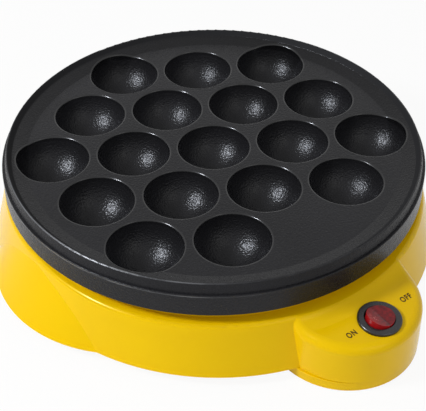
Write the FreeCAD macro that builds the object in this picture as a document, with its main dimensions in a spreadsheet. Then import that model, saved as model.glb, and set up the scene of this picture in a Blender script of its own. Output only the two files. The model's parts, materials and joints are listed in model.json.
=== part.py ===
import FreeCAD, Part
import math
import os
import re

import Sketcher

# Electric takoyaki maker: a round cast plate with a hexagon of half-round wells on a moulded base.
# Every piece is drawn about the plate's own axis, with z = 0 on the table and the console towards -Y,
# and is then shifted along Y so that the origin lies under the middle of the whole object.

doc = FreeCAD.newDocument("TakoyakiMaker")

sizes = {
    # cast plate
    "wellPitch": 45.0,
    "wellRadius": 20.0,
    "wellRimRound": 0.8,
    "plateThickness": 3.0,
    "wellWall": 2.5,
    "slopeLead": 5.2,
    "slopeWidth": 7.2,
    "slopeRise": 2.1,
    "lipWidth": 3.3,
    "lipRise": 3.6,
    "lipFace": 1.4,
    "lipRound": 0.7,
    "ledgeWidth": 1.3,
    "ledgeDrop": 0.9,
    "skirtDrop": 14.3,
    "skirtWall": 2.5,
    "skirtRound": 0.4,
    # heater and its rib
    "heaterRadius": 3.25,
    "heaterClearance": 0.1,
    "heaterBend": 8.0,
    "heaterGapAngle": 15.0,
    "heaterDepth": 20.5,
    "coldEndLength": 8.5,
    "ribWall": 3.0,
    "pinRadius": 1.1,
    "pinLength": 6.0,
    # straps and screws under the plate
    "strapThickness": 0.8,
    "strapWidth": 10.0,
    "strapInnerReach": 6.0,
    "strapOuterReach": 15.0,
    "clipBossRadius": 4.0,
    "smallScrewRadius": 1.45,
    "smallHeadRadius": 2.8,
    "smallHeadHeight": 2.0,
    "smallScrewLength": 9.0,
    "screwClearance": 0.05,
    "boreSpare": 1.5,
    "fuseRadius": 2.0,
    "fuseLength": 14.0,
    "fuseTail": 2.0,
    "fuseTailRadius": 0.5,
    "fuseDrop": 19.0,
    "fuseOffset": 7.5,
    # thermostat under the place without a well
    "thermostatRadius": 8.5,
    "thermostatHeight": 9.0,
    "thermostatCapRadius": 7.5,
    "thermostatCapHeight": 2.2,
    "thermostatEarSpan": 11.9,
    "thermostatEarWidth": 7.0,
    "thermostatTabLength": 6.5,
    "thermostatTabWidth": 6.3,
    "padRadius": 10.0,
    "padDrop": 10.0,
    "earBossRadius": 3.5,
    # posts that carry the plate
    "postRadius": 5.0,
    "postDrop": 17.0,
    "postScrewRadius": 1.95,
    "postScrewReach": 8.0,
    "postHeadRadius": 3.6,
    "postHeadHeight": 3.2,
    "washerRadius": 5.0,
    "washerThickness": 0.8,
    "throughClearance": 0.3,
    "spacerWall": 1.8,
    # reflector pan
    "panThickness": 0.8,
    "panRimHeight": 10.0,
    "panGap": 1.0,
    "headClearance": 3.65,
    "bushWall": 1.0,
    "bushFlange": 1.6,
    "bushDepth": 2.0,
    "bushFlangeThickness": 1.5,
    # how far a joined or cut form passes its neighbour
    "overlap": 1.0,
    # moulded housing
    "shelfGap": 6.5,
    "rimTuck": 1.6,
    "drumShift": 3.8,
    "drumFlare": 7.6,
    "drumEdge": 2.5,
    "housingFoot": 7.0,
    "housingWall": 2.5,
    "collarInset": 5.5,
    "collarLap": 2.0,
    "chamberHeight": 17.0,
    "innerLedgeWidth": 24.0,
    "lobeRadius": 74.7,
    "lobeTopRadius": 71.8,
    "lobeProud": 10.6,
    "lobeTuck": 0.35,
    "consoleRadius": 38.0,
    "consoleDraft": 0.5,
    "consoleProud": 26.3,
    "consoleSlope": 3.0,
    "consoleEdge": 5.0,
    "sweepAngle": 40.0,
    "sweepRound": 11.0,
    # cord entry at the back
    "glandHeight": 17.0,
    "glandBossRadius": 8.5,
    "glandBossProud": 2.2,
    "glandBodyRadius": 5.2,
    "glandFlangeRadius": 7.0,
    "glandFlange": 2.0,
    "glandTail": 4.0,
    "glandTailRadius": 5.0,
    "glandTaper": 1.0,
    "glandBore": 3.6,
    "glandInside": 7.0,
    # bottom cover and feet
    "coverThickness": 2.0,
    "coverGap": 0.3,
    "frontPadRadius": 39.8,
    "frontPadSetback": 0.6,
    "footRadius": 14.0,
    "footX": 80.0,
    "footY": 60.0,
    "rubberRadius": 9.0,
    "rubberProud": 1.0,
    "rubberSeat": 2.0,
    "rubberClearance": 0.1,
    "bossRadius": 4.0,
    "bossCircle": 96.0,
    "slotLength": 36.0,
    "slotWidth": 4.0,
    "slotPitch": 9.0,
    # rocker switch
    "switchInset": 16.1,
    "switchRoom": 1.5,
    "bezelRadius": 11.5,
    "bezelHeight": 1.8,
    "bezelRound": 0.8,
    "barrelRadius": 9.8,
    "cutoutClearance": 0.45,
    "barrelDepth": 14.0,
    "cavityRadius": 8.15,
    "cavityDepth": 8.0,
    "rockerClearance": 0.65,
    "rockerTop": 2.3,
    "rockerDepth": 2.5,
    "rockerTilt": 9.0,
    "pivotRadius": 1.0,
    "pivotClearance": 0.06,
    "pivotDepth": 1.0,
    "plungerRadius": 1.2,
    "plungerLength": 3.5,
    "leverLength": 10.0,
    "leverWidth": 3.0,
    "leverThickness": 0.5,
    "leverTilt": 6.0,
    "fulcrumHeight": 1.0,
    "lampRadius": 1.4,
    "lampLength": 8.0,
    "lampOffset": 4.6,
    "bladeWidth": 4.8,
    "bladeThickness": 0.8,
    "bladeLength": 7.0,
    "bladePitch": 5.5,
    # terminal block and earth
    "blockLength": 34.0,
    "blockWidth": 17.0,
    "blockHeight": 11.0,
    "blockX": 0.0,
    "blockY": 62.0,
    "blockPitch": 10.0,
    "blockHoleRadius": 2.0,
    "wireHoleRadius": 1.8,
    "earthY": 30.0,
    "earthScrewRadius": 1.95,
    "earthHeadRadius": 3.5,
    "earthHeadHeight": 2.6,
    "earthNutFlats": 7.0,
    "earthNutHeight": 3.2,
    "earthScrewTip": 1.0,
    "earthTabLength": 16.0,
    "earthTabWidth": 6.3,
}

derived = {
    # radii of the plate, from the outermost wells outwards
    "ringRadius": "wellPitch * sqrt(3)",
    "slopeRadius": "2 * wellPitch + wellRadius - slopeLead",
    "rimRadius": "slopeRadius + slopeWidth",
    "lipRadius": "rimRadius + lipWidth",
    "faceRadius": "lipRadius + lipFace",
    "skirtRadius": "faceRadius + ledgeWidth",
    # heights, from the foot of the housing up through the pan, the straps and the heater to the plate
    "coverTop": "housingFoot + coverThickness",
    "ledgeHeight": "coverTop + chamberHeight",
    "panTop": "ledgeHeight + panThickness",
    "clipSeat": "panTop + headClearance + smallHeadHeight + strapThickness",
    "heaterHeight": "clipSeat + heaterRadius",
    "fieldHeight": "heaterHeight + heaterDepth",
    "lipHeight": "fieldHeight + slopeRise + lipRise",
    "plateUnder": "fieldHeight - plateThickness",
    "bumpRadius": "wellRadius + wellWall",
    "bumpEdge": "sqrt(bumpRadius * bumpRadius - plateThickness * plateThickness)",
    "skirtFoot": "fieldHeight - skirtDrop",
    # heater ring lies midway between the two circles of six wells
    "heaterRing": "(wellPitch + ringRadius) / 2",
    "heaterFoot": "heaterHeight - heaterBend - coldEndLength",
    "legX": "heaterRing * sin(heaterGapAngle) - heaterBend * cos(heaterGapAngle)",
    "legY": "-heaterRing * cos(heaterGapAngle) - heaterBend * sin(heaterGapAngle)",
    # hollows between three wells hold the screws
    "clipCircle": "2 * wellPitch / sqrt(3)",
    "fuseSeat": "fieldHeight - fuseDrop - fuseRadius",
    "postX": "2.5 * wellPitch / sqrt(3)",
    "postY": "1.5 * wellPitch",
    "postFoot": "fieldHeight - postDrop",
    "padFoot": "fieldHeight - padDrop",
    "thermostatY": "-2 * wellPitch",
    "earSeat": "padFoot - thermostatCapHeight",
    # housing: the drum's outline is two half circles with their centres drumShift before and behind
    "shelfHeight": "skirtFoot - shelfGap",
    "drumTop": "skirtRadius - rimTuck",
    "drumFoot": "drumTop + drumFlare",
    "flareSlope": "drumFlare / (shelfHeight - housingFoot)",
    "collarRadius": "skirtRadius - skirtWall - collarInset",
    "collarTop": "skirtFoot + collarLap",
    "innerLedge": "collarRadius - innerLedgeWidth",
    "lobeTopHeight": "shelfHeight - drumEdge",
    "lobeTopX": "drumTop + flareSlope * drumEdge - lobeTuck - lobeTopRadius",
    "lobeFootX": "drumFoot + lobeProud - lobeRadius",
    "consoleReach": "drumFoot + drumShift + consoleProud",
    "consoleY": "-(consoleReach - consoleRadius)",
    "switchY": "-(consoleReach - switchInset)",
    "switchHeight": "coverTop + switchRoom + bladeLength + barrelDepth",
    # the console's top sweeps up to the rim, drawn about the front centre of the drum
    "switchRun": "consoleReach - switchInset - drumShift",
    "sweepFoot": "switchHeight + (switchRun - drumTop) * tan(consoleSlope)",
    "sweepRun": "(shelfHeight - sweepFoot) / (tan(sweepAngle) - tan(consoleSlope))",
    "sweepLow": "shelfHeight - sweepRun * tan(sweepAngle)",
    "sweepRoom": "sweepRun / cos(sweepAngle) - drumEdge * tan(sweepAngle / 2)",
    "sweepBend": "min(sweepRound; 0.9 * sweepRoom / tan((sweepAngle - consoleSlope) / 2))",
    "consoleTop": "shelfHeight + consoleEdge",
    "glandFace": "drumFoot + drumShift - flareSlope * (glandHeight - housingFoot) + glandBossProud",
    "rearReach": "glandFace + glandFlange + glandTail",
    "centreY": "(consoleReach - rearReach) / 2",
    # bottom
    "padTop": "housingFoot - coverGap",
    "coverInset": "housingWall + coverGap",
    "coverRadius": "drumFoot - flareSlope * coverThickness - coverInset",
    "lobeRise": "(lobeTopHeight - housingFoot) / coverThickness",
    "coverLobeX": "lobeFootX + (lobeTopX - lobeFootX) / lobeRise",
    "coverLobeRadius": "lobeRadius - (lobeRadius - lobeTopRadius) / lobeRise - coverInset",
    "coverConsole": "consoleRadius - consoleDraft - coverInset",
    "frontPadY": "-(consoleReach - frontPadSetback - frontPadRadius)",
    # switch, measured from the seat of its bezel
    "rockerRadius": "cavityRadius - rockerClearance",
    "rockerEdge": "rockerTop + rockerRadius * tan(rockerTilt)",
    "leverHeight": "fulcrumHeight - cavityDepth",
}


def makeSheet(name, cells):
    """A sheet with one aliased value in each row."""
    sheet = doc.addObject("Spreadsheet::Sheet", name)
    for row, (alias, content) in enumerate(cells.items(), 1):
        sheet.set(f"A{row}", alias)
        sheet.set(f"B{row}", content)
        sheet.setAlias(f"B{row}", alias)
    doc.recompute()
    return sheet


def bound(text):
    """An expression in which each known name points at its sheet."""
    def point(match):
        word = match.group(0)
        if word in sizes:
            return "Sizes." + word
        return "Places." + word if word in derived else word
    return re.sub(r"[A-Za-z]\w*", point, str(text))


makeSheet("Sizes", {name: str(number) for name, number in sizes.items()})
places = makeSheet("Places", {name: "=" + bound(text) for name, text in derived.items()})
parts = {}
touch = 0.001   # edges and faces nearer than this lie on each other


def value(text):
    """The present number of an expression."""
    result = places.evalExpression(bound(text))
    return float(getattr(result, "Value", result))


def bind(thing, settings):
    """Tie properties of an object to the sheets."""
    for path, text in settings.items():
        thing.setExpression(path, bound(text))


def subPart(label, thing, turn=None):
    """Name a finished piece and stand it in the common frame."""
    thing.Label = label
    bind(thing, {"Placement.Base.y": "centreY"})
    parts[label] = thing
    return thing


# ---------- Part primitives, placed and sized by expressions ----------

def place(thing, x, y, z):
    bind(thing, {"Placement.Base.x": x, "Placement.Base.y": y, "Placement.Base.z": z})
    return thing


def rod(radius, length, x="0", y="0", z="0", along=None):
    """A cylinder that starts at a point and runs up, or along the given axis."""
    thing = doc.addObject("Part::Cylinder", "Rod")
    bind(thing, {"Radius": radius, "Height": length})
    if along == "X":
        thing.Placement.Rotation = FreeCAD.Rotation(FreeCAD.Vector(0, 1, 0), 90)
    if along == "Y":
        thing.Placement.Rotation = FreeCAD.Rotation(FreeCAD.Vector(1, 0, 0), -90)
    return place(thing, x, y, z)


def block(length, width, height, x="0", y="0", z="0"):
    """A box centred on a point of its underside."""
    thing = doc.addObject("Part::Box", "Block")
    bind(thing, {"Length": length, "Width": width, "Height": height})
    return place(thing, f"({x}) - ({length}) / 2", f"({y}) - ({width}) / 2", z)


def fuse(pieces):
    thing = doc.addObject("Part::MultiFuse", "Joined")
    thing.Shapes = pieces
    return thing


def cut(base, tools):
    thing = doc.addObject("Part::Cut", "Trimmed")
    thing.Base = base
    thing.Tool = tools[0] if len(tools) == 1 else fuse(tools)
    return thing


def group(pieces):
    """Separate solids, or one solid whose own place is kept inside the group."""
    thing = doc.addObject("Part::Compound", "Group")
    thing.Links = pieces
    return thing


def ringPlaces(radius, angles):
    """Places on a circle, as pairs of expressions."""
    return [(f"({radius}) * cos({angle})", f"({radius}) * sin({angle})") for angle in angles]


# ---------- PartDesign bodies ----------

def newBody(name):
    return doc.addObject("PartDesign::Body", name)


def originFeature(body, role):
    return [feature for feature in body.Origin.OriginFeatures if feature.Role == role][0]


def newSketch(body, name, role, offset):
    sketch = body.newObject("Sketcher::SketchObject", name)
    sketch.AttachmentSupport = [(originFeature(body, role), "")]
    sketch.MapMode = "FlatFace"
    for axis, text in offset.items():
        sketch.setExpression("AttachmentOffset.Base." + axis, bound(text))
    return sketch


def fix(sketch, kind, geometry, point, text):
    """Hold a point at a distance from the sketch's origin."""
    if text == "0":
        axis = -2 if kind == "DistanceX" else -1
        sketch.addConstraint(Sketcher.Constraint("PointOnObject", geometry, point, axis))
        return
    number = sketch.addConstraint(Sketcher.Constraint(kind, -1, 1, geometry, point, value(text)))
    sketch.setExpression(f"Constraints[{number}]", bound(text))


def drawOutline(body, name, role, corners, **offset):
    """A closed outline through corners (x, y) or, where a corner is rounded, (x, y, radius)."""
    sketch = newSketch(body, name, role, offset)
    count = len(corners)
    points = [FreeCAD.Vector(value(corner[0]), value(corner[1]), 0) for corner in corners]
    entries, exits, arcs = list(points), list(points), {}
    for i, corner in enumerate(corners):
        if corner[2:] == ():
            continue
        radius = value(corner[2])
        back = (points[i - 1] - points[i]).normalize()
        ahead = (points[(i + 1) % count] - points[i]).normalize()
        half = back.getAngle(ahead) / 2
        entries[i] = points[i] + back * (radius / math.tan(half))
        exits[i] = points[i] + ahead * (radius / math.tan(half))
        bisector = (back + ahead).normalize()
        middle = points[i] + bisector * (radius / math.sin(half) - radius)
        arcs[i] = Part.Arc(entries[i], middle, exits[i])
    lines = []
    for i in range(count):
        segment = Part.LineSegment(exits[i], entries[(i + 1) % count])
        lines.append(sketch.addGeometry(segment, False))
    for i, corner in enumerate(corners):
        before, after = lines[i - 1], lines[i]
        if i not in arcs:
            sketch.addConstraint(Sketcher.Constraint("Coincident", before, 2, after, 1))
            fix(sketch, "DistanceX", after, 1, corner[0])
            fix(sketch, "DistanceY", after, 1, corner[1])
            continue
        arc = sketch.addGeometry(arcs[i], False)
        first = 1 if sketch.getPoint(arc, 1).distanceToPoint(entries[i]) < 1e-6 else 2
        sketch.addConstraint(Sketcher.Constraint("Tangent", before, 2, arc, first))
        sketch.addConstraint(Sketcher.Constraint("Tangent", arc, 3 - first, after, 1))
        number = sketch.addConstraint(Sketcher.Constraint("Radius", arc, value(corner[2])))
        sketch.setExpression(f"Constraints[{number}]", bound(corner[2]))
        tip = sketch.addGeometry(Part.Point(points[i]), True)
        sketch.addConstraint(Sketcher.Constraint("PointOnObject", tip, 1, before))
        sketch.addConstraint(Sketcher.Constraint("PointOnObject", tip, 1, after))
        fix(sketch, "DistanceX", tip, 1, corner[0])
        fix(sketch, "DistanceY", tip, 1, corner[1])
    return sketch


def drawCircles(body, name, circles, role="XY_Plane", **offset):
    """Circles (x, y, radius) in one sketch."""
    sketch = newSketch(body, name, role, offset)
    for x, y, radius in circles:
        centre = FreeCAD.Vector(value(x), value(y), 0)
        circle = Part.Circle(centre, FreeCAD.Vector(0, 0, 1), value(radius))
        number = sketch.addGeometry(circle, False)
        fix(sketch, "DistanceX", number, 3, x)
        fix(sketch, "DistanceY", number, 3, y)
        rule = sketch.addConstraint(Sketcher.Constraint("Radius", number, value(radius)))
        sketch.setExpression(f"Constraints[{rule}]", bound(radius))
    return sketch


def drawStadium(body, name, radius, height):
    """Two half circles, one towards the console and one towards the back, joined by straight sides."""
    sketch = newSketch(body, name, "XY_Plane", {"z": height})
    r, shift = value(radius), value("drumShift")
    axis = FreeCAD.Vector(0, 0, 1)
    back = Part.ArcOfCircle(Part.Circle(FreeCAD.Vector(0, shift, 0), axis, r), 0, math.pi)
    front = Part.ArcOfCircle(Part.Circle(FreeCAD.Vector(0, -shift, 0), axis, r), math.pi, 2 * math.pi)
    left = Part.LineSegment(FreeCAD.Vector(-r, shift, 0), FreeCAD.Vector(-r, -shift, 0))
    right = Part.LineSegment(FreeCAD.Vector(r, -shift, 0), FreeCAD.Vector(r, shift, 0))
    loop = [sketch.addGeometry(side, False) for side in (back, left, front, right)]
    for before, after in zip(loop, loop[1:] + loop[:1]):
        sketch.addConstraint(Sketcher.Constraint("Tangent", before, 2, after, 1))
    sketch.addConstraint(Sketcher.Constraint("Equal", loop[0], loop[2]))
    fix(sketch, "DistanceX", loop[0], 3, "0")
    fix(sketch, "DistanceY", loop[0], 3, "drumShift")
    fix(sketch, "DistanceX", loop[2], 3, "0")
    fix(sketch, "DistanceY", loop[2], 3, "-drumShift")
    number = sketch.addConstraint(Sketcher.Constraint("Radius", loop[0], r))
    sketch.setExpression(f"Constraints[{number}]", bound(radius))
    return sketch


def drawBowl(body, name, radius, top, x, y):
    """Half of a bowl's section beside its upright axis: a quarter round and a straight wall above it."""
    sketch = newSketch(body, name, "XZ_Plane", {"x": x, "y": "fieldHeight", "z": f"-({y})"})
    r, height = value(radius), value(top)
    centre = FreeCAD.Vector(0, 0, 0)
    quarter = Part.ArcOfCircle(Part.Circle(centre, FreeCAD.Vector(0, 0, 1), r), -math.pi / 2, 0)
    arc = sketch.addGeometry(quarter, False)
    corners = [FreeCAD.Vector(r, 0, 0), FreeCAD.Vector(r, height, 0),
               FreeCAD.Vector(0, height, 0), FreeCAD.Vector(0, -r, 0)]
    lines = [sketch.addGeometry(Part.LineSegment(corners[i], corners[i + 1]), False) for i in range(3)]
    sketch.addConstraint(Sketcher.Constraint("Coincident", arc, 3, -1, 1))
    sketch.addConstraint(Sketcher.Constraint("Coincident", arc, 2, lines[0], 1))
    sketch.addConstraint(Sketcher.Constraint("Coincident", lines[0], 2, lines[1], 1))
    sketch.addConstraint(Sketcher.Constraint("Coincident", lines[1], 2, lines[2], 1))
    sketch.addConstraint(Sketcher.Constraint("Coincident", lines[2], 2, arc, 1))
    sketch.addConstraint(Sketcher.Constraint("PointOnObject", arc, 1, -2))
    sketch.addConstraint(Sketcher.Constraint("PointOnObject", arc, 2, -1))
    sketch.addConstraint(Sketcher.Constraint("Vertical", lines[0]))
    sketch.addConstraint(Sketcher.Constraint("PointOnObject", lines[1], 2, -2))
    sketch.addConstraint(Sketcher.Constraint("Horizontal", lines[1]))
    number = sketch.addConstraint(Sketcher.Constraint("Radius", arc, r))
    sketch.setExpression(f"Constraints[{number}]", bound(radius))
    fix(sketch, "DistanceY", lines[1], 2, top)
    return sketch


def feature(body, kind, name, sketch, **settings):
    """A sketched feature; text settings are expressions."""
    thing = body.newObject("PartDesign::" + kind, name)
    thing.Profile = sketch
    if kind in ("Revolution", "Groove"):
        thing.ReferenceAxis = (sketch, ["V_Axis"])
        thing.Angle = 360
    for key, setting in settings.items():
        if isinstance(setting, str):
            thing.setExpression(key, bound(setting))
        else:
            setattr(thing, key, setting)
    return thing


def polar(body, name, originals, count, angle):
    pattern = body.newObject("PartDesign::PolarPattern", name)
    pattern.Originals = originals
    pattern.Axis = (originFeature(body, "Z_Axis"), [""])
    pattern.Angle = angle
    pattern.Occurrences = count
    body.Tip = pattern
    return pattern


def mirrored(body, name, originals, role):
    pattern = body.newObject("PartDesign::Mirrored", name)
    pattern.Originals = originals
    pattern.MirrorPlane = (originFeature(body, role), [""])
    body.Tip = pattern
    return pattern


def roundEdges(body, name, radius, wanted):
    """Fillet those edges of the body's last feature for which wanted(edge) holds."""
    doc.recompute()
    base = body.Tip
    names = [f"Edge{i}" for i, edge in enumerate(base.Shape.Edges, 1) if wanted(edge)]
    fillet = body.newObject("PartDesign::Fillet", name)
    fillet.Base = (base, names)
    fillet.setExpression("Radius", bound(radius))
    return fillet


# ---------- cast baking plate ----------

# The circles of the hexagon: radius, angle of the first place, number of wells, angle that they span.
# The outermost circle of corners has one place less, over the thermostat, towards the console.
wellRings = [("0", "0", 1, 0), ("wellPitch", "30", 6, 360), ("ringRadius", "0", 6, 360),
             ("2 * wellPitch", "-30", 5, 240)]


def wellFeatures(body, kind, name, radius, top):
    """One bowl, added or cut, at every place of the hexagon."""
    for ring, (distance, angle, count, span) in enumerate(wellRings):
        x, y = ringPlaces(distance, [angle])[0]
        sketch = drawBowl(body, f"{name}Sketch{ring}", radius, top, x, y)
        bowl = feature(body, kind, f"{name}{ring}", sketch)
        if count > 1:
            polar(body, f"{name}Ring{ring}", [bowl], count, span)


def bakingPlate():
    body = newBody("BakingPlate")
    section = [("0", "plateUnder"), ("skirtRadius - skirtWall", "plateUnder", "skirtWall"),
               ("skirtRadius - skirtWall", "skirtFoot"), ("skirtRadius", "skirtFoot", "skirtRound"),
               ("skirtRadius", "fieldHeight - ledgeDrop", "skirtRound"),
               ("faceRadius", "fieldHeight - ledgeDrop"), ("lipRadius", "lipHeight", "lipRound"),
               ("rimRadius", "fieldHeight + slopeRise"), ("slopeRadius", "fieldHeight"), ("0", "fieldHeight")]
    feature(body, "Revolution", "Disc", drawOutline(body, "DiscSection", "XZ_Plane", section))
    bumps(body)
    ribHalf = "heaterRadius + ribWall"
    rib = [(f"heaterRing - {ribHalf}", "heaterHeight"), (f"heaterRing + {ribHalf}", "heaterHeight"),
           (f"heaterRing + {ribHalf}", "plateUnder + plateThickness / 2"),
           (f"heaterRing - {ribHalf}", "plateUnder + plateThickness / 2")]
    feature(body, "Revolution", "HeaterRib", drawOutline(body, "RibSection", "XZ_Plane", rib))
    plateBosses(body)
    wellFeatures(body, "Groove", "Well", "wellRadius", "slopeRise + lipRise + plateThickness")
    roundEdges(body, "WellRims", "wellRimRound", isWellRim)
    ring = [("heaterRing", "heaterHeight", "heaterRadius + heaterClearance")]
    groove = drawCircles(body, "HeaterSection", ring, role="XZ_Plane")
    feature(body, "Groove", "HeaterGroove", groove)
    plateBores(body)
    return subPart("baking_plate", body)


def bumps(body):
    """Outer skins of the wells: a ball below the plate, with its neck sunk in the plate's thickness."""
    for ring, (distance, angle, count, span) in enumerate(wellRings):
        x, y = ringPlaces(distance, [angle])[0]
        sketch = drawBump(body, f"BumpSketch{ring}", x, y)
        bump = feature(body, "Revolution", f"Bump{ring}", sketch)
        if count > 1:
            polar(body, f"BumpRing{ring}", [bump], count, span)


def drawBump(body, name, x, y):
    """Half section of a ball cut off by the underside, with a short neck above."""
    sketch = newSketch(body, name, "XZ_Plane", {"x": x, "y": "fieldHeight", "z": f"-({y})"})
    r, drop, edge = value("bumpRadius"), value("plateThickness"), value("bumpEdge")
    neck = drop / 2
    start = -math.pi / 2
    ball = Part.Circle(FreeCAD.Vector(0, 0, 0), FreeCAD.Vector(0, 0, 1), r)
    arc = sketch.addGeometry(Part.ArcOfCircle(ball, start, -math.asin(drop / r)), False)
    corners = [FreeCAD.Vector(edge, -drop, 0), FreeCAD.Vector(edge, -neck, 0),
               FreeCAD.Vector(0, -neck, 0), FreeCAD.Vector(0, -r, 0)]
    lines = [sketch.addGeometry(Part.LineSegment(corners[i], corners[i + 1]), False) for i in range(3)]
    sketch.addConstraint(Sketcher.Constraint("Coincident", arc, 3, -1, 1))
    sketch.addConstraint(Sketcher.Constraint("Coincident", arc, 2, lines[0], 1))
    sketch.addConstraint(Sketcher.Constraint("Coincident", lines[0], 2, lines[1], 1))
    sketch.addConstraint(Sketcher.Constraint("Coincident", lines[1], 2, lines[2], 1))
    sketch.addConstraint(Sketcher.Constraint("Coincident", lines[2], 2, arc, 1))
    sketch.addConstraint(Sketcher.Constraint("PointOnObject", arc, 1, -2))
    sketch.addConstraint(Sketcher.Constraint("Vertical", lines[0]))
    sketch.addConstraint(Sketcher.Constraint("PointOnObject", lines[1], 2, -2))
    sketch.addConstraint(Sketcher.Constraint("Horizontal", lines[1]))
    number = sketch.addConstraint(Sketcher.Constraint("Radius", arc, r))
    sketch.setExpression(f"Constraints[{number}]", bound("bumpRadius"))
    fix(sketch, "DistanceY", arc, 2, "-plateThickness")
    fix(sketch, "DistanceY", lines[1], 2, "-plateThickness / 2")
    return sketch


def isWellRim(edge):
    """An edge where a well meets the field, or meets the slope that rises to the lip."""
    low, high = edge.BoundBox.ZMin, edge.BoundBox.ZMax
    if low < value("fieldHeight") - touch or high > value("fieldHeight + slopeRise") - touch:
        return False
    if isinstance(edge.Curve, Part.Circle):
        return abs(edge.Curve.Radius - value("wellRadius")) < touch
    return isinstance(edge.Curve, Part.BSplineCurve)


postPlaces = [("postX", "postY"), ("-postX", "postY"), ("-postX", "-postY"), ("postX", "-postY")]
clipAngles = ["0", "120", "240"]
fuseAngle = "180"
earPlaces = [("thermostatEarSpan", "thermostatY"), ("-thermostatEarSpan", "thermostatY")]


def plateBosses(body):
    """Bosses under the plate, each from inside the plate down to its own seat."""
    top = "plateUnder + plateThickness / 2"
    clips = [(x, y, "clipBossRadius") for x, y in ringPlaces("clipCircle", clipAngles)]
    fuse = [(x, y, "clipBossRadius") for x, y in ringPlaces("clipCircle", [fuseAngle])]
    ears = [(x, y, "earBossRadius") for x, y in earPlaces]
    posts = [(x, y, "postRadius") for x, y in postPlaces]
    groups = {"Clip": (clips, "clipSeat"), "Fuse": (fuse, "fuseSeat"), "Ear": (ears, "earSeat"),
              "Post": (posts, "postFoot"), "Sensor": ([("0", "thermostatY", "padRadius")], "padFoot")}
    for name, (circles, foot) in groups.items():
        sketch = drawCircles(body, f"{name}BossSketch", circles, z=foot)
        feature(body, "Pad", f"{name}Boss", sketch, Length=f"{top} - {foot}")


def plateBores(body):
    """Blind bores for the screws, each deeper than its screw reaches."""
    small = "smallScrewRadius + screwClearance"
    depth = "smallScrewLength - strapThickness + boreSpare"
    clips = [(x, y, small) for x, y in ringPlaces("clipCircle", clipAngles)]
    fuse = [(x, y, small) for x, y in ringPlaces("clipCircle", [fuseAngle])]
    ears = [(x, y, small) for x, y in earPlaces]
    posts = [(x, y, "postScrewRadius + screwClearance") for x, y in postPlaces]
    groups = {"Clip": (clips, "clipSeat", depth), "Fuse": (fuse, "fuseSeat", depth),
              "Ear": (ears, "earSeat", depth), "Post": (posts, "postFoot", "postScrewReach + boreSpare")}
    for name, (circles, foot, length) in groups.items():
        sketch = drawCircles(body, f"{name}BoreSketch", circles, z=foot)
        feature(body, "Pocket", f"{name}Bore", sketch, Length=length, Reversed=True)


# ---------- heater, straps and sensors under the plate ----------

def heatingElement():
    """A tube bent to a ring that lies in the rib's groove, with two ends turned down."""
    ring, tube, height = value("heaterRing"), value("heaterRadius"), value("heaterHeight")
    bend, foot = value("heaterBend"), value("heaterFoot")
    gap = math.radians(value("heaterGapAngle"))
    axis = FreeCAD.Vector(0, 0, 1)

    def onRing(angle):
        return FreeCAD.Vector(ring * math.sin(angle), -ring * math.cos(angle), height)

    def towardsGap(angle, side):
        return FreeCAD.Vector(-side * math.cos(angle), -side * math.sin(angle), 0)

    def leg(side):
        angle = side * gap
        start, inward = onRing(angle), towardsGap(angle, side)
        middle = start + inward * bend * math.sin(math.pi / 4) - axis * bend * (1 - math.cos(math.pi / 4))
        turned = start + inward * bend - axis * bend
        end = FreeCAD.Vector(turned.x, turned.y, foot)
        return start, middle, turned, end

    right, left = leg(1), leg(-1)
    path = Part.Wire([
        Part.makeLine(right[3], right[2]), Part.Arc(right[2], right[1], right[0]).toShape(),
        Part.Arc(right[0], onRing(math.pi), left[0]).toShape(),
        Part.Arc(left[0], left[1], left[2]).toShape(), Part.makeLine(left[2], left[3])])
    disc = Part.Wire(Part.makeCircle(tube, right[3], axis))
    thing = doc.addObject("Part::Feature", "HeatingElement")
    thing.Shape = path.makePipeShell([disc], True, False)
    return subPart("heating_element", thing)


legPlaces = [("legX", "legY"), ("-legX", "legY")]


def heaterEnds():
    """Terminal pins below the cold ends, and the insulating bushes in the pan round them."""
    pins = [rod("pinRadius", "pinLength", x, y, "heaterFoot - pinLength") for x, y in legPlaces]
    subPart("heater_terminals", fuse(pins))
    bore = "heaterRadius + heaterClearance"
    foot, tall = "ledgeHeight - bushDepth", "bushDepth + panThickness + bushFlangeThickness"
    bodies, bores = [], []
    for x, y in legPlaces:
        bodies.append(rod(f"{bore} + bushWall", tall, x, y, foot))
        bodies.append(rod(f"{bore} + bushWall + bushFlange", "bushFlangeThickness", x, y, "panTop"))
        bores.append(rod(bore, "2 * bushDepth + panThickness + 2 * bushFlangeThickness", x, y,
                         f"{foot} - bushDepth / 2"))
    subPart("insulating_bushes", cut(fuse(bodies), bores))


def strap(angle, seat, inner, outer):
    """A flat strap below a boss, pointing away from the axis."""
    plate = doc.addObject("Part::Box", "Strap")
    bind(plate, {"Length": f"{inner} + {outer}", "Width": "strapWidth", "Height": "strapThickness"})
    plate.Placement.Rotation = FreeCAD.Rotation(FreeCAD.Vector(0, 0, 1), float(angle))
    reach, side = f"(clipCircle - ({inner}))", "strapWidth / 2"
    place(plate, f"{reach} * cos({angle}) + {side} * sin({angle})",
          f"{reach} * sin({angle}) - {side} * cos({angle})", f"{seat} - strapThickness")
    x, y = ringPlaces("clipCircle", [angle])[0]
    return cut(plate, [strapHole(x, y, seat)])


def strapHole(x, y, seat):
    """Screw hole through a strap whose upper face is the seat."""
    return rod("smallScrewRadius + screwClearance", "3 * strapThickness", x, y, f"{seat} - 2 * strapThickness")


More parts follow.
